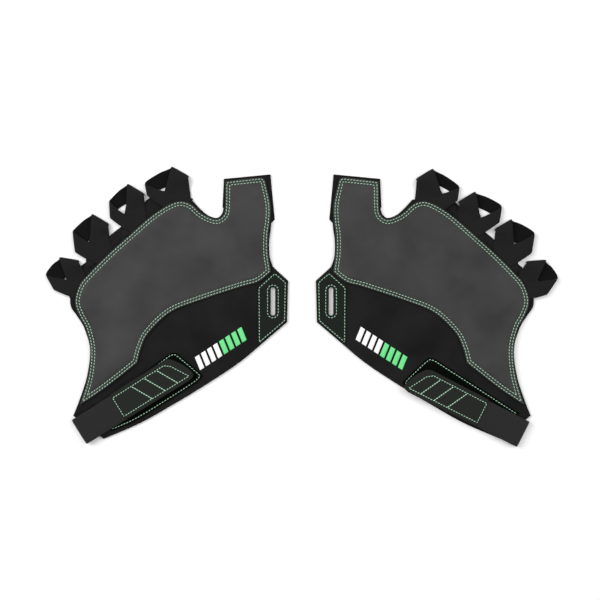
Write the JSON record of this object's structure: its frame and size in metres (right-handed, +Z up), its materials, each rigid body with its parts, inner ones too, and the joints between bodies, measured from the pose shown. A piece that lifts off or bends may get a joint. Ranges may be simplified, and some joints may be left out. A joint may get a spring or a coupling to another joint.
{
  "type": "pair of climbing hand grips",
  "caption": "Pair of open-palm crack-climbing gloves with a rubber back patch, elastic finger loops, a thumb loop and a hook-and-loop wrist strap, laid flat.",
  "frame": {"origin": "on the surface the pair lies on, under the middle of the pair's box", "axes": "+X from the left glove to the right glove, +Y towards the fingers, +Z up, away from the palms' side"},
  "size_m": [0.3438, 0.1872, 0.0069],
  "materials": {
    "black_microfibre": "matte, fine suede grain",
    "grey_rubber": "smooth satin rubber",
    "lining_knit": "soft brushed knit",
    "reinforcement": "matte microfibre",
    "loop_pile": "looped pile",
    "hook_tape": "fine hooks",
    "strap_webbing": "ribbed elastic webbing",
    "finger_webbing": "ribbed elastic webbing",
    "tab_microfibre": "matte microfibre",
    "mint_thread": "twisted polyester thread",
    "white_film": "satin transfer film",
    "green_film": "satin transfer film"
  },
  "bodies": {
    "left_glove": {"left_lining": "lining_knit", "left_back_panel": "black_microfibre", "left_rubber_patch": "grey_rubber", "left_slot_patch": "reinforcement", "left_thumb_band": "black_microfibre", "left_landing_patch": "loop_pile", "left_strap_anchor": "strap_webbing", "left_loop_tails": "finger_webbing"},
    "right_glove": {"right_lining": "lining_knit", "right_back_panel": "black_microfibre", "right_rubber_patch": "grey_rubber", "right_slot_patch": "reinforcement", "right_thumb_band": "black_microfibre", "right_landing_patch": "loop_pile", "right_strap_anchor": "strap_webbing", "right_loop_tails": "finger_webbing"},
    "left_strap": {"left_wrist_strap": "strap_webbing", "left_hook_patch": "hook_tape", "left_pull_tab": "tab_microfibre"},
    "left_index_finger": {"left_index_loop": "finger_webbing"},
    "left_middle_finger": {"left_middle_loop": "finger_webbing"},
    "left_ring_finger": {"left_ring_loop": "finger_webbing"},
    "left_little_finger": {"left_little_loop": "finger_webbing"},
    "right_strap": {"right_wrist_strap": "strap_webbing", "right_hook_patch": "hook_tape", "right_pull_tab": "tab_microfibre"},
    "right_index_finger": {"right_index_loop": "finger_webbing"},
    "right_middle_finger": {"right_middle_loop": "finger_webbing"},
    "right_ring_finger": {"right_ring_loop": "finger_webbing"},
    "right_little_finger": {"right_little_loop": "finger_webbing"}
  },
  "joints": [
    {"name": "right_glove_lift", "type": "slide", "parent": "left_glove", "child": "right_glove", "axis": [0, 0, 1], "range_m": [0, 0.15]},
    {"name": "left_strap_fold", "type": "hinge", "parent": "left_glove", "child": "left_strap", "pos_m": [-0.1472, -0.08346, 0.0035], "axis": [0.5299, -0.848, 0], "range_deg": [0, 180]},
    {"name": "left_index_flex", "type": "hinge", "parent": "left_glove", "child": "left_index_finger", "pos_m": [-0.08556, 0.07491, 0.0033], "axis": [0.7771, 0.6293, 0], "range_deg": [0, 90]},
    {"name": "left_middle_flex", "type": "hinge", "parent": "left_glove", "child": "left_middle_finger", "pos_m": [-0.10943, 0.05609, 0.0033], "axis": [0.7771, 0.6293, 0], "range_deg": [0, 90]},
    {"name": "left_ring_flex", "type": "hinge", "parent": "left_glove", "child": "left_ring_finger", "pos_m": [-0.13334, 0.03596, 0.0033], "axis": [0.7771, 0.6293, 0], "range_deg": [0, 90]},
    {"name": "left_little_flex", "type": "hinge", "parent": "left_glove", "child": "left_little_finger", "pos_m": [-0.15489, 0.01491, 0.0033], "axis": [0.7771, 0.6293, 0], "range_deg": [0, 90]},
    {"name": "right_strap_fold", "type": "hinge", "parent": "right_glove", "child": "right_strap", "pos_m": [0.14615, -0.08515, 0.0035], "axis": [0.454, 0.891, 0], "range_deg": [0, 180]},
    {"name": "right_index_flex", "type": "hinge", "parent": "right_glove", "child": "right_index_finger", "pos_m": [0.087, 0.07388, 0.0033], "axis": [0.7771, -0.6293, 0], "range_deg": [0, 90]},
    {"name": "right_middle_flex", "type": "hinge", "parent": "right_glove", "child": "right_middle_finger", "pos_m": [0.11231, 0.05389, 0.0033], "axis": [0.7771, -0.6293, 0], "range_deg": [0, 90]},
    {"name": "right_ring_flex", "type": "hinge", "parent": "right_glove", "child": "right_ring_finger", "pos_m": [0.13506, 0.0347, 0.0033], "axis": [0.7771, -0.6293, 0], "range_deg": [0, 90]},
    {"name": "right_little_flex", "type": "hinge", "parent": "right_glove", "child": "right_little_finger", "pos_m": [0.15564, 0.01443, 0.0033], "axis": [0.7771, -0.6293, 0], "range_deg": [0, 90]}
  ]
}
